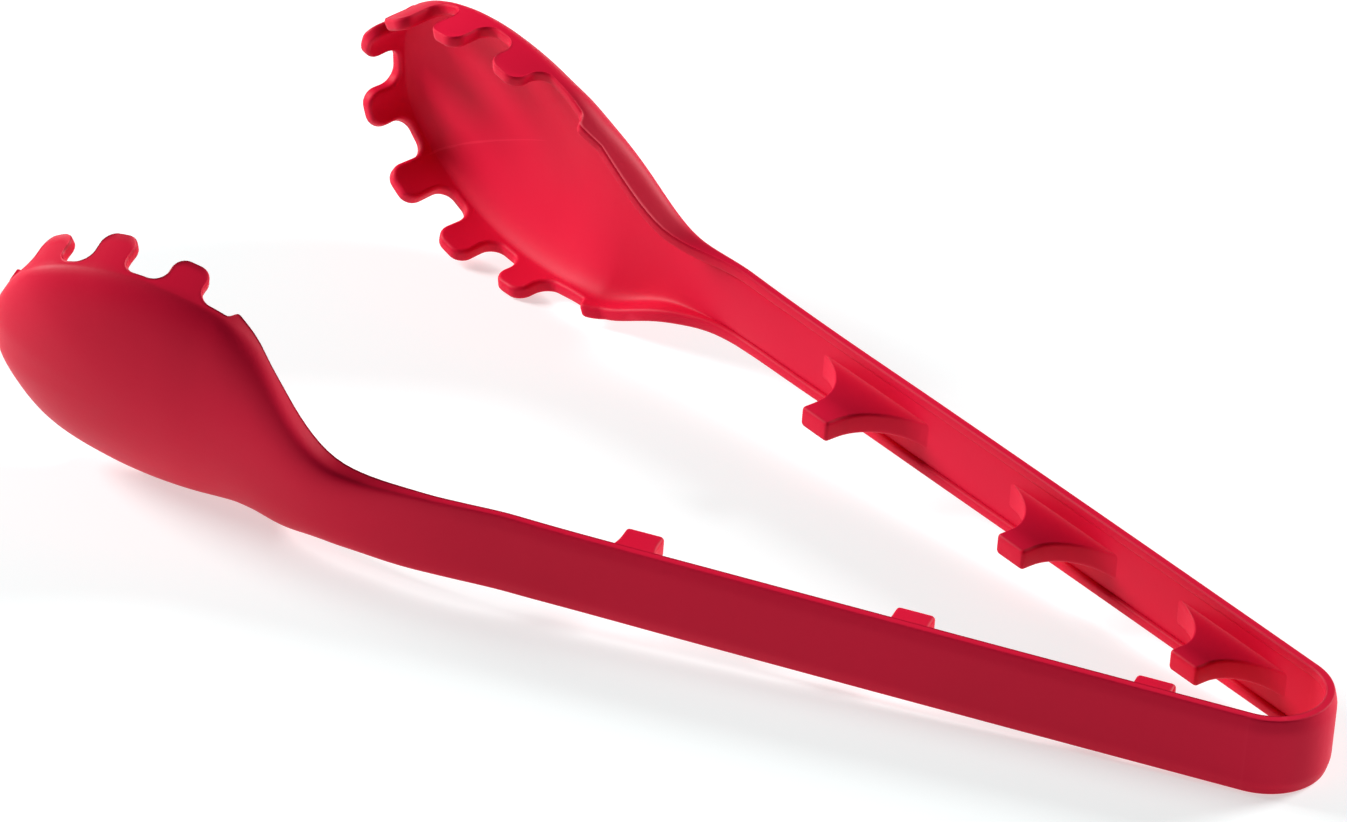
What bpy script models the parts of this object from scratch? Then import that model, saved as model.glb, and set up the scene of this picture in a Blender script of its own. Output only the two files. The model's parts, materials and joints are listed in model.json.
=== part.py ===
"""Spring tongs: a moulded bow with a steel strip inside it, two strap arms with three grip lugs
each, and two toothed spoon heads. Lengths below are in millimetres until MM turns them to metres.

Tool frame: +X runs from the heads to the bow, +Y to the right arm, +Z up, with the centre of the
bow's bend at the origin. Arm coordinates: s runs along an arm from the bow, n points outwards from
the centre plane, z is up. The tongs lie on their side, the bow and the lower teeth on the ground.
"""
import math

import bmesh
import bpy
import numpy as np

MM = 0.001
GAP = 0.3                      # clearance between neighbouring solids

# Bow and arms
SPLAY_DEG = 15.06              # each arm's angle to the centre plane
BOW_RADIUS = 13.0              # centre line of the strap round the bow
ARM_SAG = 3.3e-5               # inward bend of an arm, per mm, times s squared
STRAP_HALF_HEIGHT = 9.0
STRAP_OUT = 1.45               # outer face, from the strap's centre line
STRAP_IN = -1.45               # rim of the channel
WEB_IN = -0.85                 # floor of the channel
RIM_WIDTH = 2.2
EDGE_TAPER = 3.4               # height over which the outer face leans in to its edge
EDGE_LEAN = 0.55
EDGE_BEVEL = 0.4
RIM_SLOPE = 1.6                # height of the slope from the channel's rim to its floor
ARM_END = 158.0                # where the strap becomes the head's neck
BOW_STEPS = 30
ARM_STEPS = 9

# Steel strip inside the bow and the arms
STRIP_HALF_THICKNESS = 0.3
STRIP_HALF_HEIGHT = 5.0
STRIP_CENTRE = 0.3             # from the strap's centre line
STRIP_LENGTH = 100.0           # of each straight strip
STRIP_STEPS = 7
SLOT_OVERRUN = 3.0             # of the slot's guide past an open end, in mm or degrees

# Grip lugs: place along the arm and reach inwards from the strap's centre line
LUGS = ((24.8, 14.3), (79.3, 15.5), (142.0, 17.8))
LUG_HALF_WIDTH = 4.1
LUG_HALF_HEIGHT = 2.5
LUG_BLOCK_DEPTH = 3.4
LUG_HALF_BASE = 21.0
LUG_EDGE = 0.4
LUG_TOE = 0.1                  # thickness of the foot at its end
LUG_CURVE_DEG = 84
LUG_CURVE_STEPS = 8
LUG_FOOT_STEPS = 6

# Heads
FLOOR_WALL = 2.9
SIDE_WALL = 2.9
FLANGE_WALL = 2.2
TOOTH_PITCH = 19.9             # along the rim
TOOTH_HALF_WIDTH = 5.0
TOOTH_SLOPE = 1.0
SHOULDER = 85.9                # start of the plain rim, from the tip
NECK_LENGTH = 50.0             # over which the strap grows into the head
RIB_POINTS = 7
NECK_RIBS = 14

# Both heads share these curves along the arm: half width, height of the middle, back face, rim
# between the teeth, plain rim behind them, and how square the cross-section is each way. The
# teeth's heights run from the tip backwards, the same on both sides of a head.
OUTLINE = [(ARM_END + GAP, 9.0), (185, 9.8), (205, 12.0), (225, 25.5), (248, 30.6),
           (269, 29.3), (287, 22.1)]
HEAD_CURVES = {
    "rise": ((ARM_END, 0.0), (200, 1.0), (235, 11.8), (300, 14.0)),
    "back": ((ARM_END, 13.6), (175, 13.2), (205, 12.3), (230, 10.5), (248, 11.1)),
    "base": ((ARM_END, 10.7), (172, 10.6), (187, 10.2), (197, 9.0), (205, 6.7), (213, 3.2),
             (227, -1.8), (255, -1.7), (310, -0.3)),
    "flange": ((ARM_END, 10.7), (172, 10.55), (187, 10.1), (197, 8.4), (205, 5.3), (212, 1.3),
               (221, -2.0), (232, -3.1), (260, -3.4)),
    "across_power": ((ARM_END, 7.0), (180, 5.0), (215, 2.8), (240, 2.05)),
    "depth_power": ((ARM_END, 7.0), (180, 5.0), (215, 2.4), (240, 1.62)),
    "pole": 248.0,
    "teeth": (8.7, 10.4, 9.9, 8.2),
}
RIGHT_HEAD = dict(HEAD_CURVES, outline=OUTLINE + [(298, 11.3), (299.7, 0.0)], first=9.8,
                  shift_s=0.0, shift_n=0.0, shift_z=0.0, turn=0.0, roll=5.5, stretch=1.0)
LEFT_HEAD = dict(HEAD_CURVES, outline=OUTLINE + [(298, 8.3), (299.7, 0.0)], first=9.5,
                 shift_s=6.5, shift_n=2.6, shift_z=-1.8, turn=4.6, roll=-16.3, stretch=0.885)

# A head is turned about (s, n) = HEAD_TURN_AT and rolled about n = HEAD_ROLL_AT
HEAD_TURN_AT = (200.0, 5.0)
HEAD_ROLL_AT = 8.0
HEAD_EASE_FROM = 165.0

# Hinges: each stands for the flexing of one half of the bend
PIVOT_X = 1.0
PIVOT_Y = BOW_RADIUS * 2 / math.pi
STAND_TILT_DEG = 1.95         # so that the bow and both heads touch the ground
STAND_ROLL_DEG = 1.87

RED = (0.62, 0.006, 0.022)
STEEL = (0.55, 0.56, 0.58)


# ---------------------------------------------------------------- curves

def smooth_value(knots, x):
    """Value at x of a smooth curve through (place, value) knots, with no overshoot."""
    places, values = (np.array(column, float) for column in zip(*knots))
    step = np.diff(places)
    secant = np.diff(values) / step
    slope = np.zeros_like(values)
    same_way = secant[1:] * secant[:-1] > 0
    mean = 2 * secant[1:] * secant[:-1] / np.where(same_way, secant[1:] + secant[:-1], 1)
    slope[1:-1] = np.where(same_way, mean, 0)
    x = np.clip(x, places[0], places[-1])
    i = np.clip(np.searchsorted(places, x) - 1, 0, len(step) - 1)
    t = (x - places[i]) / step[i]
    start = values[i] * (1 + 2 * t) * (1 - t) ** 2 + slope[i] * step[i] * t * (1 - t) ** 2
    end = values[i + 1] * t * t * (3 - 2 * t) + slope[i + 1] * step[i] * t * t * (t - 1)
    return start + end


def smooth_path(points, per_span=40):
    """Points of a centripetal Catmull-Rom curve, and the length along it."""
    p = np.array(points, float)
    p = np.vstack([2 * p[0] - p[1], p, 2 * p[-1] - p[-2]])
    knot = np.concatenate([[0], np.cumsum(np.linalg.norm(np.diff(p, axis=0), axis=1) ** 0.5)])
    path = []
    for i in range(1, len(p) - 2):
        k0, k1, k2, k3 = knot[i - 1:i + 3]
        for t in np.linspace(k1, k2, per_span, endpoint=False):
            a1 = ((k1 - t) * p[i - 1] + (t - k0) * p[i]) / (k1 - k0)
            a2 = ((k2 - t) * p[i] + (t - k1) * p[i + 1]) / (k2 - k1)
            a3 = ((k3 - t) * p[i + 1] + (t - k2) * p[i + 2]) / (k3 - k2)
            b1 = ((k2 - t) * a1 + (t - k0) * a2) / (k2 - k0)
            b2 = ((k3 - t) * a2 + (t - k1) * a3) / (k3 - k1)
            path.append(((k2 - t) * b1 + (t - k1) * b2) / (k2 - k1))
    path.append(p[-2])
    path = np.array(path)
    length = np.concatenate([[0], np.cumsum(np.linalg.norm(np.diff(path, axis=0), axis=1))])
    return path, length


# ---------------------------------------------------------------- places

def arm_centre(s):
    """Outward place of the strap's centre line."""
    return BOW_RADIUS - ARM_SAG * s * s


def arm_point(side, s, n, z):
    """Tool-frame point of arm coordinates. side is 1 for the right arm and -1 for the left."""
    splay = math.radians(SPLAY_DEG)
    x = -s * math.cos(splay) + n * math.sin(splay)
    y = s * math.sin(splay) + n * math.cos(splay)
    return (x, side * y, z)


# ---------------------------------------------------------------- blender helpers

def clear_scene():
    for scene_object in list(bpy.data.objects):
        bpy.data.objects.remove(scene_object, do_unlink=True)


def make_material(name, color, roughness, metallic):
    material = bpy.data.materials.new(name)
    material.use_nodes = True
    shader = material.node_tree.nodes["Principled BSDF"]
    shader.inputs["Base Color"].default_value = (*color, 1.0)
    shader.inputs["Roughness"].default_value = roughness
    shader.inputs["Metallic"].default_value = metallic
    return material


def make_empty(name, location, parent=None):
    """An empty at a place given in millimetres in its parent's frame."""
    empty = bpy.data.objects.new(name, None)
    empty.location = [MM * value for value in location]
    empty.parent = parent
    bpy.context.collection.objects.link(empty)
    return empty


def make_object(name, points, faces, material, parent):
    """A closed solid from tool-frame points in millimetres, under an empty that isn't turned."""
    origin = np.zeros(3) if parent.parent is None else np.array(parent.location)
    mesh = bpy.data.meshes.new(name)
    local = np.array(points, float) * MM - origin
    mesh.from_pydata([tuple(point) for point in local], [], faces)
    work = bmesh.new()
    work.from_mesh(mesh)
    bmesh.ops.remove_doubles(work, verts=work.verts, dist=0.00001)
    bmesh.ops.dissolve_degenerate(work, edges=work.edges, dist=0.000005)
    bmesh.ops.recalc_face_normals(work, faces=work.faces)
    if work.calc_volume(signed=True) < 0:
        bmesh.ops.reverse_faces(work, faces=work.faces)
    work.to_mesh(mesh)
    work.free()
    solid = bpy.data.objects.new(name, mesh)
    bpy.context.collection.objects.link(solid)
    solid.parent = parent
    if material:
        mesh.materials.append(material)
    mesh.shade_smooth()
    mesh.set_sharp_from_angle(angle=math.radians(35))
    return solid


def loft(rings):
    """Points and faces of a solid through closed rings of equal size, with flat ends."""
    size = len(rings[0])
    points = [point for ring in rings for point in ring]
    faces = [tuple(range(size)), tuple(range(len(points) - size, len(points)))]
    for ring in range(len(rings) - 1):
        for i in range(size):
            j = (i + 1) % size
            start = ring * size
            faces.append((start + i, start + j, start + size + j, start + size + i))
    return points, faces


def cut(solid, cutter):
    """Cut one object out of another, and keep the cutter as a hidden guide."""
    cutter.hide_render = True
    cutter.display_type = "WIRE"
    modifier = solid.modifiers.new("slot", "BOOLEAN")
    modifier.operation = "DIFFERENCE"
    modifier.solver = "EXACT"
    modifier.object = cutter


# ---------------------------------------------------------------- strap, bow and steel strip

def strap_section():
    """The channel's outline as (n, z) offsets from the strap's centre line."""
    top = STRAP_HALF_HEIGHT
    half = [
        (STRAP_OUT, top - EDGE_TAPER), (STRAP_OUT - EDGE_LEAN, top - EDGE_BEVEL),
        (STRAP_OUT - EDGE_LEAN - EDGE_BEVEL, top), (STRAP_IN + EDGE_BEVEL, top),
        (STRAP_IN, top - EDGE_BEVEL), (STRAP_IN, top - RIM_WIDTH),
        (WEB_IN, top - RIM_WIDTH - RIM_SLOPE),
    ]
    return half + [(n, -z) for n, z in reversed(half)]


def strip_section(extra=0.0):
    """The steel strip's outline, or its slot's with some extra all round."""
    thick = STRIP_HALF_THICKNESS + extra
    tall = STRIP_HALF_HEIGHT + extra
    return [
        (STRIP_CENTRE + thick, tall), (STRIP_CENTRE - thick, tall),
        (STRIP_CENTRE - thick, -tall), (STRIP_CENTRE + thick, -tall),
    ]


def arm_sweep(side, section, start, end, count):
    """Rings of a section carried along an arm."""
    rings = []
    for s in np.linspace(start, end, count):
        rings.append([arm_point(side, s, arm_centre(s) + n, z) for n, z in section])
    return rings


def bow_sweep(section, overrun=0.0):
    """Rings of a section carried round the bow, with some overrun in degrees at each end."""
    reach = math.radians(90.0 - SPLAY_DEG + overrun)
    rings = []
    for angle in np.linspace(-reach, reach, BOW_STEPS + 1):
        ring = []
        for n, z in section:
            radius = BOW_RADIUS + n
            ring.append((radius * math.cos(angle), radius * math.sin(angle), z))
        rings.append(ring)
    return rings


def build_bow(parent, red, steel):
    end_gap = math.degrees(GAP / BOW_RADIUS)
    bow = make_object("bow", *loft(bow_sweep(strap_section())), red, parent)
    slot = make_object("bow_slot_guide", *loft(bow_sweep(strip_section(GAP), SLOT_OVERRUN)), None, parent)
    cut(bow, slot)
    make_object("bow_strip", *loft(bow_sweep(strip_section(), -end_gap)), steel, parent)


def build_arm(side, name, parent, red, steel):
    strap = loft(arm_sweep(side, strap_section(), GAP, ARM_END, ARM_STEPS))
    arm = make_object(name + "_arm", *strap, red, parent)
    slot = loft(arm_sweep(side, strip_section(GAP), -SLOT_OVERRUN, STRIP_LENGTH + 2 * GAP,
                          STRIP_STEPS))
    cut(arm, make_object(name + "_slot_guide", *slot, None, parent))
    strip = loft(arm_sweep(side, strip_section(), GAP, STRIP_LENGTH, STRIP_STEPS))
    make_object(name + "_strip", *strip, steel, parent)


# ---------------------------------------------------------------- grip lugs

def lug_outline(place, reach):
    """A square nose with a hollow curve down to a wide foot, as (s, n) points."""
    nose = arm_centre(place) - reach
    shelf = nose + LUG_BLOCK_DEPTH
    run = LUG_HALF_BASE - LUG_HALF_WIDTH
    side = [(LUG_HALF_WIDTH - LUG_EDGE, nose), (LUG_HALF_WIDTH, nose + LUG_EDGE)]
    foot = arm_centre(place) + WEB_IN - GAP - LUG_TOE
    for turn in np.radians(np.linspace(0, LUG_CURVE_DEG, LUG_CURVE_STEPS)):
        n = shelf + (foot - shelf) * math.sin(turn)
        side.append((LUG_HALF_WIDTH + run * (1 - math.cos(turn)), n))
    outline = [(place + s, n) for s, n in side] + [(place - s, n) for s, n in reversed(side)]
    feet = np.linspace(place + LUG_HALF_BASE, place - LUG_HALF_BASE, LUG_FOOT_STEPS)
    foot_line = [(s, arm_centre(s) + WEB_IN - GAP) for s in feet]
    return outline[:len(side)] + foot_line + outline[len(side):]


def build_lugs(side, name, parent, red):
    for number, (place, reach) in enumerate(LUGS, start=1):
        outline = lug_outline(place, reach)
        rings = []
        for z in (-LUG_HALF_HEIGHT, LUG_HALF_HEIGHT):
            rings.append([arm_point(side, s, n, z) for s, n in outline])
        make_object(f"{name}_lug_{number}", *loft(rings), red, parent)


# ---------------------------------------------------------------- heads

def tooth_height(shape, along):
    """Height of the teeth at a distance from the tip, measured along the rim."""
    height = np.zeros_like(along)
    for number, full in enumerate(shape["teeth"]):
        centre = shape["first"] + number * TOOTH_PITCH
        off = np.abs(along - centre) - TOOTH_HALF_WIDTH
        height = np.maximum(height, full * np.clip(0.5 - off / TOOTH_SLOPE, 0, 1))
    return height


def rib_places(shape, half_length):
    """Distances from the tip at which a rib meets the rim: tooth corners, gaps and neck."""
    places = [0.0]
    for number in range(len(shape["teeth"])):
        centre = shape["first"] + number * TOOTH_PITCH
        edge = TOOTH_HALF_WIDTH + TOOTH_SLOPE / 2
        inner = TOOTH_HALF_WIDTH - TOOTH_SLOPE / 2
        places += [centre + k for k in (-edge, -inner, 0.0, inner, edge)]
        if number > 0:
            places.append(centre - TOOTH_PITCH / 2)
    places += [SHOULDER - 1.5, SHOULDER - 0.5, SHOULDER + 0.5]
    neck = np.linspace(SHOULDER + 1.5, half_length, NECK_RIBS)
    return np.array(sorted(places) + list(neck))


def head_layer(shape, path, length, along, inset):
    """Ribs of one skin of a head, from its spine to the rim, in arm coordinates."""
    middle = length[-1] / 2
    tangent = np.gradient(path, axis=0)
    tangent /= np.linalg.norm(tangent, axis=1)[:, None]
    place = middle + along
    s = np.interp(place, length, path[:, 0])
    w = np.interp(place, length, path[:, 1])
    wall = smooth_value(((ARM_END, FLANGE_WALL), (ARM_END + NECK_LENGTH, SIDE_WALL)), s) * inset
    s_in = s - wall * np.interp(place, length, -tangent[:, 1])
    w_in = w - wall * np.interp(place, length, tangent[:, 0])
    spine = np.minimum(s, shape["pole"])
    floor = smooth_value(((ARM_END, STRAP_OUT - WEB_IN), (ARM_END + NECK_LENGTH, FLOOR_WALL)), spine)
    back = smooth_value(shape["back"], spine) - floor * inset
    across_power = smooth_value(shape["across_power"], spine)
    depth_power = smooth_value(shape["depth_power"], spine)
    rise_spine = smooth_value(shape["rise"], spine)
    rise = smooth_value(shape["rise"], s)
    base = smooth_value(shape["base"], s)
    plain = smooth_value(shape["flange"], s)
    past = np.clip((np.abs(along) - SHOULDER) + 0.5, 0, 1)
    rim = (base - tooth_height(shape, np.abs(along))) * (1 - past) + plain * past
    columns = []
    for turn in np.linspace(0, math.pi / 2, RIB_POINTS):
        across = math.sin(turn) ** (2 / across_power)
        depth = max(math.cos(turn), 0.0) ** (2 / depth_power)
        z = rise_spine + (rise + w_in - rise_spine) * across
        columns.append([spine + (s_in - spine) * across, base + (back - base) * depth, z])
    for share in (0.5, 1.0):
        columns.append([s_in, base + (rim - base) * share, rise + w_in])
    return np.array(columns).transpose(2, 0, 1)


def pose_head(shape, points):
    """Roll, turn and shift a head on its arm, easing in along the neck."""
    s, n, z = points[..., 0], points[..., 1], points[..., 2]
    turn_s, turn_n = HEAD_TURN_AT
    ease = np.clip((s - HEAD_EASE_FROM) / NECK_LENGTH, 0, 1)
    ease = ease * ease * (3 - 2 * ease)
    s = s + ease * shape["shift_s"]
    n = n + ease * shape["shift_n"]
    z = z + ease * shape["shift_z"]
    s = np.where(s > turn_s, turn_s + (s - turn_s) * shape["stretch"], s)
    turn = np.radians(shape["turn"]) * ease
    s, n = (turn_s + (s - turn_s) * np.cos(turn) + (n - turn_n) * np.sin(turn),
            turn_n - (s - turn_s) * np.sin(turn) + (n - turn_n) * np.cos(turn))
    roll = np.radians(shape["roll"]) * ease
    n, z = (HEAD_ROLL_AT + (n - HEAD_ROLL_AT) * np.cos(roll) - z * np.sin(roll),
            (n - HEAD_ROLL_AT) * np.sin(roll) + z * np.cos(roll))
    return np.stack([s, n, z], axis=-1)


def build_head(side, name, shape, parent, red):
    path, length = smooth_path(shape["outline"] + [(s, -w) for s, w in shape["outline"][-2::-1]])
    half = rib_places(shape, length[-1] / 2)
    along = np.concatenate([-half[::-1], half[1:]])
    skins = [head_layer(shape, path, length, along, inset) for inset in (0, 1)]
    skins = [pose_head(shape, skin) for skin in skins]
    ribs, columns = skins[0].shape[:2]
    points = []
    for skin in skins:
        for s, n, z in skin.reshape(-1, 3):
            points.append(arm_point(side, s, n, z))

    def at(skin, rib, column):
        return (skin * ribs + rib) * columns + column

    faces = []
    for rib in range(ribs - 1):
        for column in range(columns - 1):
            corners = ((rib, column), (rib + 1, column), (rib + 1, column + 1), (rib, column + 1))
            faces.append([at(0, *corner) for corner in corners])
            faces.append([at(1, *corner) for corner in reversed(corners)])
        top = columns - 1
        faces.append([at(0, rib, top), at(0, rib + 1, top), at(1, rib + 1, top), at(1, rib, top)])
    for rib in (0, ribs - 1):
        for column in range(columns - 1):
            faces.append([at(0, rib, column), at(0, rib, column + 1),
                          at(1, rib, column + 1), at(1, rib, column)])
    make_object(name + "_head", points, faces, red, parent)


# ---------------------------------------------------------------- assembly

def centre_on_ground(stand):
    """Move the stand so that the origin is under the middle of the tongs."""
    bpy.context.view_layer.update()
    corners = []
    for item in bpy.context.scene.objects:
        if item.type == "MESH" and not item.hide_render:
            corners += [item.matrix_world @ vertex.co for vertex in item.data.vertices]
    corners = np.array([tuple(corner) for corner in corners])
    low, high = corners.min(axis=0), corners.max(axis=0)
    stand.location = (-(low[0] + high[0]) / 2, -(low[1] + high[1]) / 2, -low[2])


def main():
    clear_scene()
    red = make_material("red_silicone", RED, 0.45, 0.0)
    steel = make_material("spring_steel", STEEL, 0.3, 1.0)
    stand = make_empty("stand", (0, 0, 0))
    stand.rotation_euler = (math.radians(STAND_ROLL_DEG), math.radians(STAND_TILT_DEG), 0)
    build_bow(stand, red, steel)
    for side, name, shape in ((1, "right", RIGHT_HEAD), (-1, "left", LEFT_HEAD)):
        hinge = make_empty(name + "_hinge", (PIVOT_X, side * PIVOT_Y, 0), stand)
        build_arm(side, name, hinge, red, steel)
        build_lugs(side, name, hinge, red)
        build_head(side, name, shape, hinge, red)
    centre_on_ground(stand)


main()
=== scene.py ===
"""Spring tongs on a white table: one moulded silicone skin over a steel spring strip.

Lengths are in millimetres in the tool frame until place() turns them to the row's metres. Tool
frame: +X from the heads to the bow, +Y to the right arm, +Z up, the centre of the bend at the
origin. Arm coordinates: s runs along an arm from the bow, n points outwards, z is up.
"""

import json
import math

import bmesh
import bpy
import numpy as np
from mathutils import Matrix, Vector


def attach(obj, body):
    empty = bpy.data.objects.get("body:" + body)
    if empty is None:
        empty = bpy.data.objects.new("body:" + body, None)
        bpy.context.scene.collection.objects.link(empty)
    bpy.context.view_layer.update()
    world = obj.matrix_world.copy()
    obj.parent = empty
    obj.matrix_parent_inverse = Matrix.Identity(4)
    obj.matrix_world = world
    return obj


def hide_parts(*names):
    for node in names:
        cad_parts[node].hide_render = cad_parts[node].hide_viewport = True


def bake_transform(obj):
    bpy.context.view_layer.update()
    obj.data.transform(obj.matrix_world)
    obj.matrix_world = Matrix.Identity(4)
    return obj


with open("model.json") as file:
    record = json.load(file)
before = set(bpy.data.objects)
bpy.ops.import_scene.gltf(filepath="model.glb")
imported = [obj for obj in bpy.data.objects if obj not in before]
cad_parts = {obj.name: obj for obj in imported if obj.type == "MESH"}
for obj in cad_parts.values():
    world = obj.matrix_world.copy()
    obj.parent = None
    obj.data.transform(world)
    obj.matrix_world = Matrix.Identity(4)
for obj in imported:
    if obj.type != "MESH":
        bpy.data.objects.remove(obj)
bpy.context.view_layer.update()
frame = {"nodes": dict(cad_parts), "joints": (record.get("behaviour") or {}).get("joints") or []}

# ---------------------------------------------------------------- sizes

# Arms and bow
SPLAY_DEG = 15.06              # each arm's angle to the centre plane
BOW_RADIUS = 13.0              # centre line of the strap round the bow
ARM_SAG = 3.3e-5               # inward bend of an arm, per mm, times s squared
STRAP_HALF_THICKNESS = 1.45
ARM_END = 158.0                # where the strap becomes the head's neck
PIVOT_X = 1.0                  # of the hinges
STRAP_FLOOR = 2.05             # what is left of the strap under the channel
RIM_WALL = 2.4                 # the channel's rims
LEAN = 0.5                     # the outer face leans in towards its edges
LEAN_FROM = 0.62               # share of the half height at which the lean starts
LEAN_FADE = 30.0               # length past ARM_END over which it fades
STRIP_HALF_THICKNESS = 0.25
STRIP_HALF_HEIGHT = 5.0
STRIP_CENTRE = 0.3             # from the strap's centre line
BEND_RINGS = 34                # of each half of the bend

# Grip lugs: place along the arm and reach inwards from the strap's centre line
LUGS = ((24.8, 14.6), (79.3, 16.0), (142.0, 18.3))
LUG_HALF_WIDTH = 4.4
LUG_HALF_HEIGHT = 2.5
LUG_BLOCK_DEPTH = 3.4
LUG_BLOCK_RING = 0.6           # share of that depth at which one more ring lies
LUG_HALF_BASE = 21.5
LUG_ROUND = 0.85               # of the nose's edges
LUG_ROUND_RINGS = 6
LUG_CURVE_DEG = 88
LUG_CURVE_RINGS = 26
LUG_FILLET = 0.75              # extra half height where the lug meets the arm
LUG_FILLET_FADE = 1.1
LUG_SINK = 0.35                # of its foot into the arm

# Heads
WALL = 2.9
EDGE_DEPTH = 1.2               # straight wall above the deepest point of a valley
TOOTH_HALF_WIDTH = 5.1         # at its top
TOOTH_ROOT = 4.75              # at its foot
TOOTH_ROUND = 3.6              # most for its corners and for the valleys beside it
ROUND_SHARE = 0.46             # most for them, as a share of the tooth's height
SHOULDER_DROP = 2.4            # least height of the step where the plain rim begins
SHOULDER_SLOPE = 1.6           # length of that step
SHOULDER_LENGTH = 7.0          # from the step to the part of the rim that needs no rounding
SHOULDER_SPREAD = 26.0         # length of rim that shares out the step's extra points
RIM_STEP = 0.55                # between the points of the toothed rim
PLAIN_POINTS = 110             # along each plain rim
TURNS = list(np.linspace(0, 0.84, 13)) + [0.9, 0.95, 1.0]
EDGE_SHARES = (0.2, 0.4, 0.6, 0.8, 1.0)
FOLLOW_FROM = 0.45             # turn past which the skin follows the teeth
OUTER_ROUND = 0.5
OUTER_SHARES = (0.25, 0.5, 0.75, 1.0)
INNER_ROUND = 1.0
INNER_SHARES = (0.0, 0.2, 0.4, 0.6, 0.8, 1.0)
BEAD = 0.16                    # the mould's parting line stands proud by this

# Meshes
END_ANGLE = 60.0               # edges sharper than this stay crisp
MERGE = 4e-6                   # in metres
SLIVER = 2e-6

# Curves along an arm and its head. outline: half width. rise: height of the spine. back: outer
# face. base: the valleys between the teeth. flange: the plain rim. The spine ends at the pole.
# Each tooth is its place from the tip and its height.
OUTLINE = [(0, 9.25), (60, 9.25), (120, 9.25), (ARM_END, 9.25), (185, 9.9), (205, 12.0),
           (225, 25.5), (248, 30.6), (269, 29.3), (287, 22.1)]
HEAD = {
    "rise": ((0, 0.0), (ARM_END, 0.0), (200, 1.0), (235, 11.8), (300, 14.0)),
    "back": ((175, 13.2), (205, 12.3), (230, 10.5), (248, 11.1)),
    "base": ((172, 10.6), (187, 10.1), (200, 7.4), (213, 3.2), (227, -1.8), (255, -1.7),
             (310, -0.3)),
    "flange": ((172, 10.5), (187, 10.0), (193, 9.0), (200, 6.6), (207, 3.2), (213, 0.8),
               (220, -1.4), (230, -3.0), (260, -3.4)),
    "pole": 252.0,
}
RIGHT_HEAD = dict(HEAD, outline=OUTLINE + [(298, 11.3), (299.7, 0.0)], shift_s=0.0, shift_n=0.0,
                  shift_z=0.0, turn=0.0, roll=5.5, stretch=1.0, shoulder=88.5,
                  teeth=((9.8, 9.4), (29.7, 11.2), (49.6, 10.6), (69.5, 8.6)))
LEFT_HEAD = dict(HEAD, outline=OUTLINE + [(297, 8.1), (298, 0.0)], shift_s=6.5, shift_n=2.6,
                 shift_z=-1.8, turn=4.6, roll=-16.3, stretch=0.885, shoulder=81.5,
                 teeth=((9.5, 6.4), (29.4, 9.0), (47.6, 9.9), (68.2, 8.4)))
LEFT_HEAD["back"] = ((175, 12.9), (190, 11.9), (205, 11.4), (230, 10.4), (248, 11.1))
LEFT_HEAD["base"] = ((172, 10.5), (188, 9.0), (200, 6.6), (212, 3.6), (227, -1.6), (255, -1.7),
                     (310, -0.3))
LEFT_HEAD["flange"] = ((172, 10.4), (181, 9.7), (188, 8.5), (200, 5.8), (212, 2.8), (220, 0.4),
                       (228, -2.8), (260, -3.4))
HEAD_TURN_AT = (200.0, 5.0)
HEAD_ROLL_AT = 8.0
HEAD_EASE_FROM = 165.0
NECK_LENGTH = 50.0
ACROSS_POWER = ((120, 8.0), (ARM_END, 7.0), (180, 5.0), (215, 2.8), (240, 2.05))
DEPTH_POWER = ((120, 8.0), (ARM_END, 7.0), (180, 5.0), (215, 2.4), (240, 1.62))
INNER_POWER = ((120, 4.5), (ARM_END, 4.5), (180, 3.6), (215, 2.6), (240, 2.0))

# Camera, in the tool frame
VIEW_AZIMUTH = 33.644
VIEW_ELEVATION = 32.197
VIEW_ROLL = 4.4
VIEW_CENTRE = (-123.65, -46.85, 46.85)
VIEW_DISTANCE = 2052.2
LENS = 261.5
SENSOR = 36.0
CLIP_END = 20.0                # in metres

# Table and light: in metres in the row frame
TABLE_REACH = 4.0
TABLE_Z = -0.0005
TABLE_GLOW = 0.56
ROOM_LIGHT = 0.06
AIM = (-0.05, 0.0, 0.0)
KEY_POWER = 20.0
KEY_FROM = (-1.15, -0.30, 0.60)
KEY_SIZE = 0.5
TOP_POWER = 24.0
TOP_FROM = (0.6, 1.2, 0.65)
TOP_SIZE = 0.6


# ---------------------------------------------------------------- the tool frame

hinges = {joint["child"]: joint for joint in frame["joints"]}
right_pivot = Vector(hinges["right_arm"]["pos_m"])
left_pivot = Vector(hinges["left_arm"]["pos_m"])
up_axis = Vector(hinges["right_arm"]["axis"]).normalized()
right_axis = (right_pivot - left_pivot).normalized()
back_axis = right_axis.cross(up_axis).normalized()
to_row = Matrix((back_axis, right_axis, up_axis)).transposed().to_4x4()
to_row.translation = (right_pivot + left_pivot) / 2 - to_row @ Vector((PIVOT_X / 1000, 0, 0))
TO_ROW = np.array(to_row)


def place(points):
    """Tool-frame millimetres to row-frame metres."""
    points = np.asarray(points, float) / 1000
    return points @ TO_ROW[:3, :3].T + TO_ROW[:3, 3]


def arm_centre(s):
    return BOW_RADIUS - ARM_SAG * s * s


def arm_point(side, points):
    """Arm coordinates (s, n, z) to the tool frame. side is 1 for right and -1 for left."""
    splay = math.radians(SPLAY_DEG)
    s, n, z = np.moveaxis(np.asarray(points, float), -1, 0)
    x = -s * math.cos(splay) + n * math.sin(splay)
    y = s * math.sin(splay) + n * math.cos(splay)
    return np.stack([x, side * y, z], axis=-1)


# ---------------------------------------------------------------- curves

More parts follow.
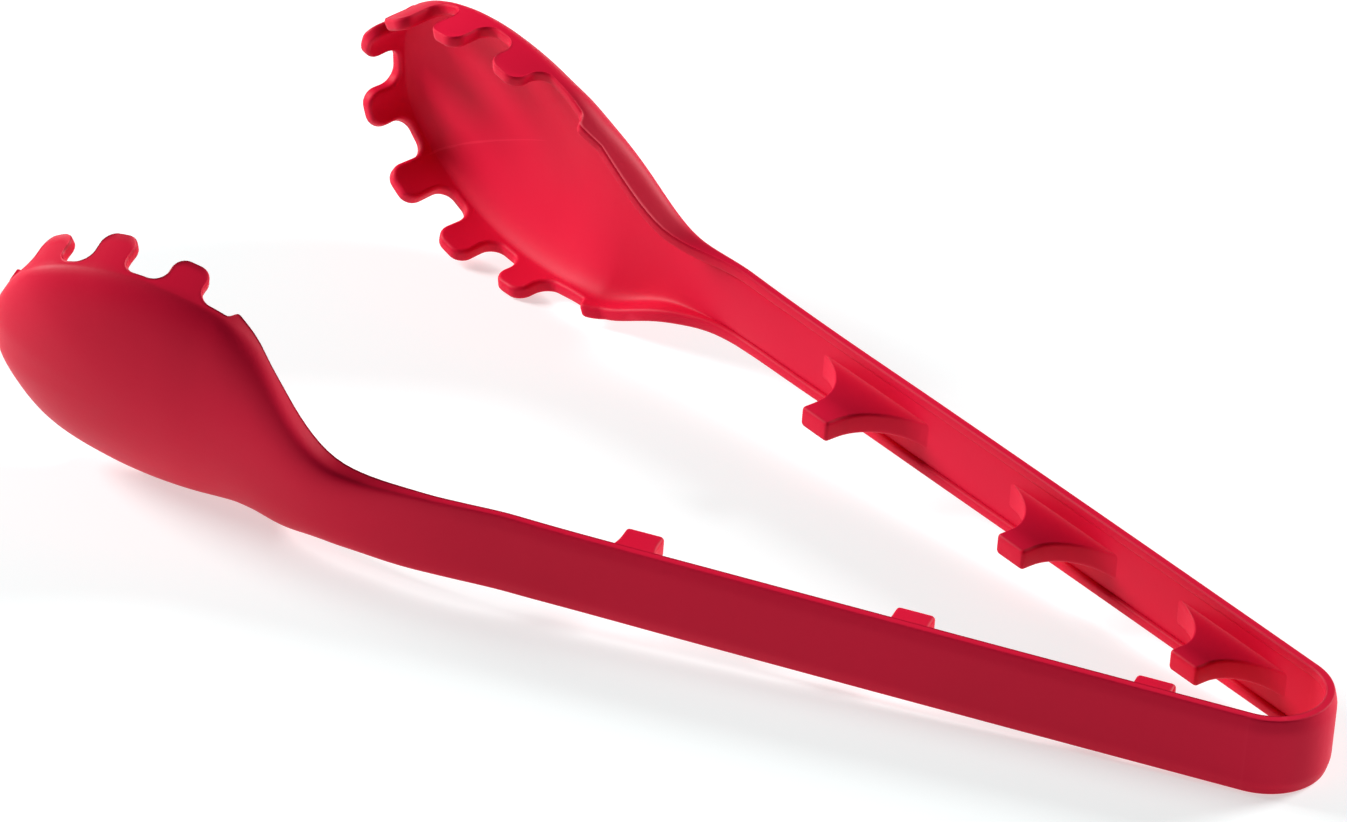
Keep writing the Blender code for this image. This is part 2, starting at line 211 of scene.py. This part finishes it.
def smooth_value(knots, x):
    """Value at x of a smooth curve through (place, value) knots, with no overshoot."""
    places, values = (np.array(column, float) for column in zip(*knots))
    step = np.diff(places)
    secant = np.diff(values) / step
    slope = np.zeros_like(values)
    same_way = secant[1:] * secant[:-1] > 0
    mean = 2 * secant[1:] * secant[:-1] / np.where(same_way, secant[1:] + secant[:-1], 1)
    slope[1:-1] = np.where(same_way, mean, 0)
    x = np.clip(x, places[0], places[-1])
    i = np.clip(np.searchsorted(places, x) - 1, 0, len(step) - 1)
    t = (x - places[i]) / step[i]
    start = values[i] * (1 + 2 * t) * (1 - t) ** 2 + slope[i] * step[i] * t * (1 - t) ** 2
    end = values[i + 1] * t * t * (3 - 2 * t) + slope[i + 1] * step[i] * t * t * (t - 1)
    return start + end


def smooth_path(points, per_span=120):
    """Points of a centripetal Catmull-Rom curve, and the length along it."""
    p = np.array(points, float)
    p = np.vstack([2 * p[0] - p[1], p, 2 * p[-1] - p[-2]])
    knot = np.concatenate([[0], np.cumsum(np.linalg.norm(np.diff(p, axis=0), axis=1) ** 0.5)])
    path = []
    for i in range(1, len(p) - 2):
        k0, k1, k2, k3 = knot[i - 1:i + 3]
        for t in np.linspace(k1, k2, per_span, endpoint=False):
            a1 = ((k1 - t) * p[i - 1] + (t - k0) * p[i]) / (k1 - k0)
            a2 = ((k2 - t) * p[i] + (t - k1) * p[i + 1]) / (k2 - k1)
            a3 = ((k3 - t) * p[i + 1] + (t - k2) * p[i + 2]) / (k3 - k2)
            b1 = ((k2 - t) * a1 + (t - k0) * a2) / (k2 - k0)
            b2 = ((k3 - t) * a2 + (t - k1) * a3) / (k3 - k1)
            path.append(((k2 - t) * b1 + (t - k1) * b2) / (k2 - k1))
    path.append(p[-2])
    path = np.array(path)
    length = np.concatenate([[0], np.cumsum(np.linalg.norm(np.diff(path, axis=0), axis=1))])
    return path, length


def ease(x):
    x = np.clip(x, 0, 1)
    return x * x * (3 - 2 * x)


def with_arm(knots, offset):
    """Knots that follow the strap, at an offset from its centre line, and then the given ones."""
    strap = [(s, arm_centre(s) + offset) for s in (0, 40, 80, 120, ARM_END)]
    return tuple(strap) + tuple(knots)


def rounded(corners, step):
    """A path through corners given as (x, y, radius), with each corner rounded."""
    path = [np.array(corners[0][:2], float)]
    for before, corner, after in zip(corners, corners[1:], corners[2:]):
        at = np.array(corner[:2], float)
        a = np.array(before[:2], float) - at
        b = np.array(after[:2], float) - at
        a /= np.linalg.norm(a)
        b /= np.linalg.norm(b)
        half = math.acos(np.clip(a @ b, -1, 1)) / 2
        reach = corner[2] / math.tan(half)
        centre = at + (a + b) / np.linalg.norm(a + b) * corner[2] / math.sin(half)
        first = at + a * reach - centre
        last = at + b * reach - centre
        sweep = math.pi - 2 * half
        count = max(3, int(round(sweep * corner[2] / step)) + 1)
        for t in np.linspace(0, 1, count):
            blend = (math.sin((1 - t) * sweep) * first + math.sin(t * sweep) * last)
            path.append(centre + blend / math.sin(sweep))
    path.append(np.array(corners[-1][:2], float))
    full = [path[0]]
    for a, b in zip(path, path[1:]):
        count = max(1, int(round(np.linalg.norm(b - a) / step)))
        full += [a + (b - a) * (k + 1) / count for k in range(count)]
    return np.array(full)


# ---------------------------------------------------------------- arm and head

class Shell:
    """The continuous skin of an arm and its head."""

    def __init__(self, shape):
        self.shape = shape
        outline = shape["outline"]
        self.path, self.length = smooth_path(outline + [(s, -w) for s, w in outline[-2::-1]])
        tangent = np.gradient(self.path, axis=0)
        self.tangent = tangent / np.linalg.norm(tangent, axis=1)[:, None]
        self.middle = self.length[-1] / 2
        thickness = STRAP_HALF_THICKNESS
        self.back = with_arm(shape["back"], thickness)
        self.base = with_arm(shape["base"], -thickness)
        self.flange = with_arm(shape["flange"], -thickness)

    def s_at(self, along):
        return np.interp(self.middle - np.abs(along), self.length, self.path[:, 0])

    def plain_drop(self, along):
        """How far the plain rim hangs below the valleys' level."""
        s = self.s_at(along)
        return smooth_value(self.base, s) - smooth_value(self.flange, s)

    def point(self, along, turn, drop, inset):
        """Arm coordinates of a place on the skin.

        along is the distance from the tip round the outline, turn goes from 0 at the spine to 1
        at the edge, drop is the distance past the edge, and inset goes from 0 outside to 1 inside.
        """
        at = self.middle + along
        s = np.interp(at, self.length, self.path[:, 0])
        w = np.interp(at, self.length, self.path[:, 1])
        neck = ((ARM_END, RIM_WALL), (ARM_END + NECK_LENGTH, WALL))
        wall = smooth_value(neck, s) * inset
        s_in = s + wall * np.interp(at, self.length, self.tangent[:, 1])
        w_in = w - wall * np.interp(at, self.length, self.tangent[:, 0])
        spine = np.minimum(s, self.shape["pole"])
        floor = smooth_value(((ARM_END, STRAP_FLOOR), (ARM_END + NECK_LENGTH, WALL)), spine)
        back = smooth_value(self.back, spine) - floor * inset
        base = smooth_value(self.base, s) + EDGE_DEPTH
        inner = np.clip(inset, 0, 1)
        across_power = smooth_value(ACROSS_POWER, spine)
        across_power = across_power + inner * (smooth_value(INNER_POWER, spine) - across_power)
        depth_power = smooth_value(DEPTH_POWER, spine)
        angle = turn * math.pi / 2
        across = np.sin(angle) ** (2 / across_power)
        depth = np.maximum(np.cos(angle), 0) ** (2 / depth_power)
        rise_spine = smooth_value(self.shape["rise"], spine)
        rise = smooth_value(self.shape["rise"], s)
        z = rise_spine + (rise + w_in - rise_spine) * across
        strap = 1 - ease((spine - ARM_END) / LEAN_FADE)
        lean = LEAN * strap * (1 - inner) * ease((across - LEAN_FROM) / (1 - LEAN_FROM)) * depth
        n = base + (back - base) * depth - drop - lean
        return np.stack([spine + (s_in - spine) * across, n, z], axis=-1)

    def pose(self, points):
        """Roll, turn and shift the head on its arm, easing in along the neck."""
        shape = self.shape
        s, n, z = np.moveaxis(points, -1, 0)
        turn_s, turn_n = HEAD_TURN_AT
        share = ease((s - HEAD_EASE_FROM) / NECK_LENGTH)
        s = s + share * shape["shift_s"]
        n = n + share * shape["shift_n"]
        z = z + share * shape["shift_z"]
        s = np.where(s > turn_s, turn_s + (s - turn_s) * shape["stretch"], s)
        turn = np.radians(shape["turn"]) * share
        s, n = (turn_s + (s - turn_s) * np.cos(turn) + (n - turn_n) * np.sin(turn),
                turn_n - (s - turn_s) * np.sin(turn) + (n - turn_n) * np.cos(turn))
        roll = np.radians(shape["roll"]) * share
        n, z = (HEAD_ROLL_AT + (n - HEAD_ROLL_AT) * np.cos(roll) - z * np.sin(roll),
                (n - HEAD_ROLL_AT) * np.sin(roll) + z * np.cos(roll))
        return np.stack([s, n, z], axis=-1)

    def rim(self):
        """The rim from tip to bow: distance along, drop, outward direction and rib place."""
        corners = [(0.0, 0.0, 0.0)]
        feet = []
        for centre, tall in self.shape["teeth"]:
            curl = min(TOOTH_ROUND, ROUND_SHARE * tall)
            root = [(centre + way * TOOTH_ROOT, 0.0, curl) for way in (-1, 1)]
            top = [(centre + way * TOOTH_HALF_WIDTH, tall, curl) for way in (-1, 1)]
            corners += [root[0], top[0], top[1], root[1]]
            feet.append((centre, TOOTH_ROOT + curl))
        shoulder = self.shape["shoulder"]
        height = max(float(self.plain_drop(np.array(shoulder))), SHOULDER_DROP)
        curl = ROUND_SHARE * height
        corners += [(shoulder, 0.0, curl), (shoulder + SHOULDER_SLOPE, height, curl)]
        end = shoulder + SHOULDER_LENGTH
        corners.append((end, float(self.plain_drop(np.array(end))), 0.0))
        toothed = rounded(corners, RIM_STEP)
        plain_along = np.linspace(end, self.middle, PLAIN_POINTS)[1:]
        plain = np.stack([plain_along, self.plain_drop(plain_along)], axis=-1)
        curve = np.vstack([toothed, plain])
        tangent = np.gradient(curve, axis=0)
        tangent /= np.linalg.norm(tangent, axis=1)[:, None]
        outward = np.stack([-tangent[:, 1], tangent[:, 0]], axis=-1)
        ribs = curve[:, 0].copy()
        run = np.concatenate([[0], np.cumsum(np.linalg.norm(np.diff(curve, axis=0), axis=1))])
        for centre, reach in feet:
            middle = np.interp(centre, curve[:, 0], run)
            for way in (-1, 1):
                foot = centre + way * reach
                start = np.interp(foot, curve[:, 0], run)
                share = (run - start) / (middle - start)
                inside = (share > 0) & (share <= 1)
                ribs[inside] = foot + (centre - foot) * share[inside]
        foot = shoulder - curl
        start = np.interp(foot, curve[:, 0], run)
        stop = start + SHOULDER_SPREAD
        share = np.clip((run - start) / (stop - start), 0, 1)
        finish = np.interp(stop, run, curve[:, 0])
        inside = (share > 0) & (share < 1)
        ribs[inside] = foot + (finish - foot) * share[inside]
        return curve, outward, ribs

    def grid(self):
        """Rows of points over the whole skin, each from spine to rim to spine, in arm terms."""
        curve, outward, ribs = self.rim()
        curve = np.vstack([(curve * (-1, 1))[:0:-1], curve])
        outward = np.vstack([(outward * (-1, 1))[:0:-1], outward])
        ribs = np.concatenate([-ribs[:0:-1], ribs])
        skin = []
        for turn in TURNS:
            skin.append((turn, ease((turn - FOLLOW_FROM) / (1 - FOLLOW_FROM)) / 2, 0.0))
        skin += [(1.0, 0.5 + share / 2, share) for share in EDGE_SHARES]
        columns = []

        def add(turn, follow, share, inset, back_off):
            rim = curve - outward * back_off
            along = ribs + (rim[:, 0] - ribs) * follow
            drop = (rim[:, 1] + EDGE_DEPTH) * share
            columns.append(self.point(along, np.full_like(along, turn), drop, inset))

        for turn, follow, share in skin:
            add(turn, follow, share, 0.0, OUTER_ROUND)
        for share in OUTER_SHARES:
            angle = share * math.pi / 2
            inset = OUTER_ROUND * (1 - math.cos(angle)) / WALL
            if share == OUTER_SHARES[0]:
                inset -= BEAD / WALL
            add(1.0, 1.0, 1.0, inset, OUTER_ROUND * (1 - math.sin(angle)))
        for share in INNER_SHARES:
            angle = share * math.pi / 2
            inset = 1 - INNER_ROUND * (1 - math.sin(angle)) / WALL
            add(1.0, 1.0, 1.0, inset, INNER_ROUND * (1 - math.cos(angle)))
        for turn, follow, share in reversed(skin[:-1]):
            add(turn, follow, share, 1.0, INNER_ROUND)
        return np.array(columns).transpose(1, 0, 2)


def add_mesh(name, points, faces, body, material):
    """A smooth closed piece from row-frame points, riding a body if one is named."""
    mesh = bpy.data.meshes.new(name)
    mesh.from_pydata([tuple(point) for point in points], [], faces)
    work = bmesh.new()
    work.from_mesh(mesh)
    bmesh.ops.remove_doubles(work, verts=work.verts, dist=MERGE)
    bmesh.ops.dissolve_degenerate(work, edges=work.edges, dist=SLIVER)
    bmesh.ops.recalc_face_normals(work, faces=work.faces)
    if work.calc_volume(signed=True) < 0:
        bmesh.ops.reverse_faces(work, faces=work.faces)
    work.to_mesh(mesh)
    work.free()
    mesh.shade_smooth()
    mesh.set_sharp_from_angle(angle=math.radians(END_ANGLE))
    mesh.materials.append(material)
    piece = bpy.data.objects.new(name, mesh)
    bpy.context.scene.collection.objects.link(piece)
    if body:
        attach(piece, body)
    return piece


def grid_faces(rows, columns, wrap=False):
    faces = []
    for row in range(rows - 1):
        for column in range(columns if wrap else columns - 1):
            after = (column + 1) % columns
            faces.append((row * columns + column, (row + 1) * columns + column,
                          (row + 1) * columns + after, row * columns + after))
    return faces


def end_faces(row, columns):
    """Closes the strap's open end: quads from the outer skin to the inner one."""
    first = row * columns
    last = first + columns - 1
    return [(first + k, first + k + 1, last - k - 1, last - k) for k in range(columns // 2)]


def build_arm(side, name, shape, material):
    """One skin over an arm and its head. Returns its section at the bow."""
    shell = Shell(shape)
    grid = shell.grid()
    rows, columns = grid.shape[:2]
    points = place(arm_point(side, shell.pose(grid))).reshape(-1, 3)
    faces = grid_faces(rows, columns) + end_faces(0, columns) + end_faces(rows - 1, columns)
    skin = add_mesh(name + "_arm_skin", points, faces, name + "_arm", material)
    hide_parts(name + "_arm", name + "_head")
    return grid[-1]


# ---------------------------------------------------------------- bow

def bend_rows(side, ring):
    """A section's (n, z) ring carried round half of the bend."""
    rows = []
    for angle in np.linspace(0, math.radians(90 - SPLAY_DEG), BEND_RINGS):
        rows.append([((BOW_RADIUS + n) * math.cos(angle),
                      side * (BOW_RADIUS + n) * math.sin(angle), z) for n, z in ring])
    return np.array(rows)


def flex(piece, node):
    """Puts a piece in place of a CAD node: bakes the piece's transform and hides the node."""
    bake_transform(piece)
    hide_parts(node)


def build_bow(side, name, section, material, strip_material):
    """Half of the bend with the steel inside it, in place of the CAD bow and bow strip."""
    upper = [(n - BOW_RADIUS, z) for s, n, z in section]
    ring = upper + [(n, -z) for n, z in upper[-2:0:-1]]
    rows = bend_rows(side, ring)
    count = len(ring)
    faces = grid_faces(len(rows), count, wrap=True)
    half = len(upper)
    for first in (0, (len(rows) - 1) * count):
        for k in range(half // 2):
            faces.append((first + k, first + k + 1, first + half - 2 - k, first + half - 1 - k))
            low = [first + (count - j) % count for j in (k, k + 1, half - 2 - k, half - 1 - k)]
            faces.append(tuple(low))
    piece = add_mesh(name + "_bow_skin", place(rows.reshape(-1, 3)), faces, None,
                     material)
    flex(piece, "bow")
    ring = [(STRIP_CENTRE + a * STRIP_HALF_THICKNESS, b * STRIP_HALF_HEIGHT)
            for a, b in ((1, 1), (-1, 1), (-1, -1), (1, -1))]
    rows = bend_rows(side, ring)
    faces = grid_faces(len(rows), 4, wrap=True)
    faces += [(0, 1, 2, 3), tuple(range(len(rows) * 4 - 4, len(rows) * 4))]
    strip = add_mesh(name + "_bow_strip_skin", place(rows.reshape(-1, 3)), faces, None,
                     strip_material)
    flex(strip, "bow_strip")


# ---------------------------------------------------------------- grip lugs

def lug_ring(half_s, half_z, radius):
    """A rounded rectangle as (s, z) points."""
    ring = []
    for corner, (a, b) in enumerate(((1, 1), (-1, 1), (-1, -1), (1, -1))):
        for angle in np.linspace(0, math.pi / 2, LUG_ROUND_RINGS) + corner * math.pi / 2:
            ring.append((a * (half_s - radius) + radius * math.cos(angle),
                         b * (half_z - radius) + radius * math.sin(angle)))
    return ring


def build_lug(side, name, number, material):
    """A grip lug: a rounded nose with a hollow curve down to a wide foot."""
    place_s, reach = LUGS[number - 1]
    foot = reach + STRAP_HALF_THICKNESS - STRAP_FLOOR + LUG_SINK
    run = LUG_HALF_BASE - LUG_HALF_WIDTH
    rings = []
    for angle in np.linspace(0, math.pi / 2, LUG_ROUND_RINGS):
        back_off = LUG_ROUND * (1 - math.sin(angle))
        depth = LUG_ROUND * (1 - math.cos(angle))
        rings.append((depth, LUG_HALF_WIDTH - back_off, LUG_HALF_HEIGHT - back_off))
    rings.append((LUG_BLOCK_DEPTH * LUG_BLOCK_RING, LUG_HALF_WIDTH, LUG_HALF_HEIGHT))
    for angle in np.radians(np.linspace(0, LUG_CURVE_DEG, LUG_CURVE_RINGS)):
        depth = LUG_BLOCK_DEPTH + (foot - LUG_BLOCK_DEPTH) * math.sin(angle)
        near = math.exp(-(foot - depth) / LUG_FILLET_FADE)
        rings.append((depth, LUG_HALF_WIDTH + run * (1 - math.cos(angle)),
                      LUG_HALF_HEIGHT + LUG_FILLET * near))
    points = []
    for depth, half_s, half_z in rings:
        for s, z in lug_ring(half_s, half_z, LUG_ROUND):
            bend = arm_centre(place_s + s) - arm_centre(place_s)
            n = arm_centre(place_s) - reach + depth + bend * (depth / foot)
            points.append((place_s + s, n, z))
    count = len(points) // len(rings)
    faces = grid_faces(len(rings), count, wrap=True)
    faces.append(tuple(range(count)))
    faces.append(tuple(range(len(points) - count, len(points))))
    node = f"{name}_lug_{number}"
    piece = add_mesh(node + "_skin", place(arm_point(side, points)), faces, name + "_arm",
                     material)
    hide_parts(node)


# ---------------------------------------------------------------- materials

def node_material(name):
    material = bpy.data.materials.new(name)
    material.use_nodes = True
    tree = material.node_tree
    return material, tree, tree.nodes["Principled BSDF"]


def noise(tree, scale, detail=3.0, stretch=(1, 1, 1)):
    where = tree.nodes.new("ShaderNodeTexCoord")
    mapping = tree.nodes.new("ShaderNodeMapping")
    mapping.inputs["Scale"].default_value = stretch
    texture = tree.nodes.new("ShaderNodeTexNoise")
    texture.inputs["Scale"].default_value = scale
    texture.inputs["Detail"].default_value = detail
    tree.links.new(where.outputs["Object"], mapping.inputs["Vector"])
    tree.links.new(mapping.outputs["Vector"], texture.inputs["Vector"])
    return texture.outputs["Fac"]


def spread(tree, value, low, high, from_low=0.3, from_high=0.7):
    node = tree.nodes.new("ShaderNodeMapRange")
    node.inputs["From Min"].default_value = from_low
    node.inputs["From Max"].default_value = from_high
    node.inputs["To Min"].default_value = low
    node.inputs["To Max"].default_value = high
    tree.links.new(value, node.inputs["Value"])
    return node.outputs["Result"]


def mixed(tree, share, first, second):
    """A mix of two colours, each a colour or a socket."""
    node = tree.nodes.new("ShaderNodeMix")
    node.data_type = "RGBA"
    tree.links.new(share, node.inputs[0])
    for socket, color in ((node.inputs[6], first), (node.inputs[7], second)):
        if isinstance(color, tuple):
            socket.default_value = (*color, 1.0)
        else:
            tree.links.new(color, socket)
    return node.outputs[2]


def bumped(tree, shader, value, strength, distance):
    node = tree.nodes.new("ShaderNodeBump")
    node.inputs["Strength"].default_value = strength
    node.inputs["Distance"].default_value = distance
    tree.links.new(value, node.inputs["Height"])
    tree.links.new(node.outputs["Normal"], shader.inputs["Normal"])


def red_silicone():
    """Moulded silicone: soft satin, faint cloudiness, a fine grain, and a painted highlight that
    makes sharp edges paler.
    """
    material, tree, shader = node_material("red_silicone_skin")
    cloud = noise(tree, 22.0, 4.0)
    base = mixed(tree, spread(tree, cloud, 0.0, 1.0), (0.66, 0.003, 0.034), (0.71, 0.004, 0.040))
    geometry = tree.nodes.new("ShaderNodeNewGeometry")
    # painted highlight: sharp convex edges (high pointiness) are mixed towards a paler red
    painted_edge_highlight = spread(tree, geometry.outputs["Pointiness"], 0.0, 0.35, 0.56, 0.66)
    color = mixed(tree, painted_edge_highlight, base, (0.88, 0.04, 0.09))
    tree.links.new(color, shader.inputs["Base Color"])
    grain = noise(tree, 900.0, 2.0)
    tree.links.new(spread(tree, cloud, 0.46, 0.56), shader.inputs["Roughness"])
    bumped(tree, shader, grain, 0.12, 0.0002)
    shader.inputs["Specular IOR Level"].default_value = 0.14
    return material


def spring_steel():
    """Cold-rolled strip: fine lengthwise rolling marks."""
    material, tree, shader = node_material("spring_steel_strip")
    marks = noise(tree, 60.0, 5.0, (1, 12, 40))
    color = mixed(tree, spread(tree, marks, 0, 1), (0.46, 0.47, 0.50), (0.62, 0.63, 0.65))
    tree.links.new(color, shader.inputs["Base Color"])
    tree.links.new(spread(tree, marks, 0.24, 0.38), shader.inputs["Roughness"])
    shader.inputs["Metallic"].default_value = 1.0
    bumped(tree, shader, marks, 0.15, 0.0001)
    return material


def table_top():
    material, tree, shader = node_material("white_table")
    cloud = noise(tree, 3.0)
    color = mixed(tree, spread(tree, cloud, 0, 1), (0.52, 0.57, 0.57), (0.54, 0.59, 0.59))
    tree.links.new(color, shader.inputs["Base Color"])
    shader.inputs["Emission Color"].default_value = (0.985, 1.0, 1.0, 1.0)
    shader.inputs["Emission Strength"].default_value = TABLE_GLOW
    shader.inputs["Roughness"].default_value = 0.9
    shader.inputs["Specular IOR Level"].default_value = 0.1
    return material


# ---------------------------------------------------------------- light and camera

def add_area(name, location, size, power):
    light = bpy.data.lights.new(name, "AREA")
    light.shape = "DISK"
    light.size = size
    light.energy = power
    lamp = bpy.data.objects.new(name, light)
    bpy.context.scene.collection.objects.link(lamp)
    lamp.location = location
    way = Vector(AIM) - Vector(location)
    lamp.rotation_euler = way.to_track_quat("-Z", "Y").to_euler()


def add_stage():
    mesh = bpy.data.meshes.new("table")
    corners = [(x * TABLE_REACH, y * TABLE_REACH, 0)
               for x, y in ((-1, -1), (1, -1), (1, 1), (-1, 1))]
    mesh.from_pydata(corners, [], [(0, 1, 2, 3)])
    mesh.materials.append(table_top())
    table = bpy.data.objects.new("table", mesh)
    table.location.z = TABLE_Z
    bpy.context.scene.collection.objects.link(table)
    world = bpy.data.worlds.new("room")
    world.use_nodes = True
    background = world.node_tree.nodes["Background"]
    background.inputs["Color"].default_value = (1.0, 1.0, 1.0, 1.0)
    background.inputs["Strength"].default_value = ROOM_LIGHT
    bpy.context.scene.world = world
    add_area("key", KEY_FROM, KEY_SIZE, KEY_POWER)
    add_area("top", TOP_FROM, TOP_SIZE, TOP_POWER)
    bpy.context.scene.view_settings.view_transform = "Standard"


def add_camera():
    a, e, r = (math.radians(v) for v in (VIEW_AZIMUTH, VIEW_ELEVATION, VIEW_ROLL))
    right = Vector((math.cos(a), math.sin(a), 0))
    ahead = Vector((-math.sin(a) * math.cos(e), math.cos(a) * math.cos(e), -math.sin(e)))
    up = right.cross(ahead)
    turned_right = right * math.cos(r) + up * math.sin(r)
    turned_up = up * math.cos(r) - right * math.sin(r)
    pose = Matrix((turned_right, turned_up, -ahead)).transposed().to_4x4()
    pose.translation = (Vector(VIEW_CENTRE) - ahead * VIEW_DISTANCE) / 1000
    data = bpy.data.cameras.new("camera")
    data.sensor_width = SENSOR
    data.lens = LENS
    data.clip_end = CLIP_END
    camera = bpy.data.objects.new("camera", data)
    bpy.context.scene.collection.objects.link(camera)
    camera.matrix_world = to_row @ pose
    bpy.context.scene.camera = camera


# ---------------------------------------------------------------- the scene

red = red_silicone()
steel = spring_steel()
for side, name, shape in ((1, "right", RIGHT_HEAD), (-1, "left", LEFT_HEAD)):
    end_section = build_arm(side, name, shape, red)
    build_bow(side, name, end_section, red, steel)
    for number in (1, 2, 3):
        build_lug(side, name, number, red)
for node in ("left_strip", "right_strip"):
    strip = frame["nodes"][node]
    strip.data.materials.clear()
    strip.data.materials.append(steel)
add_stage()
add_camera()
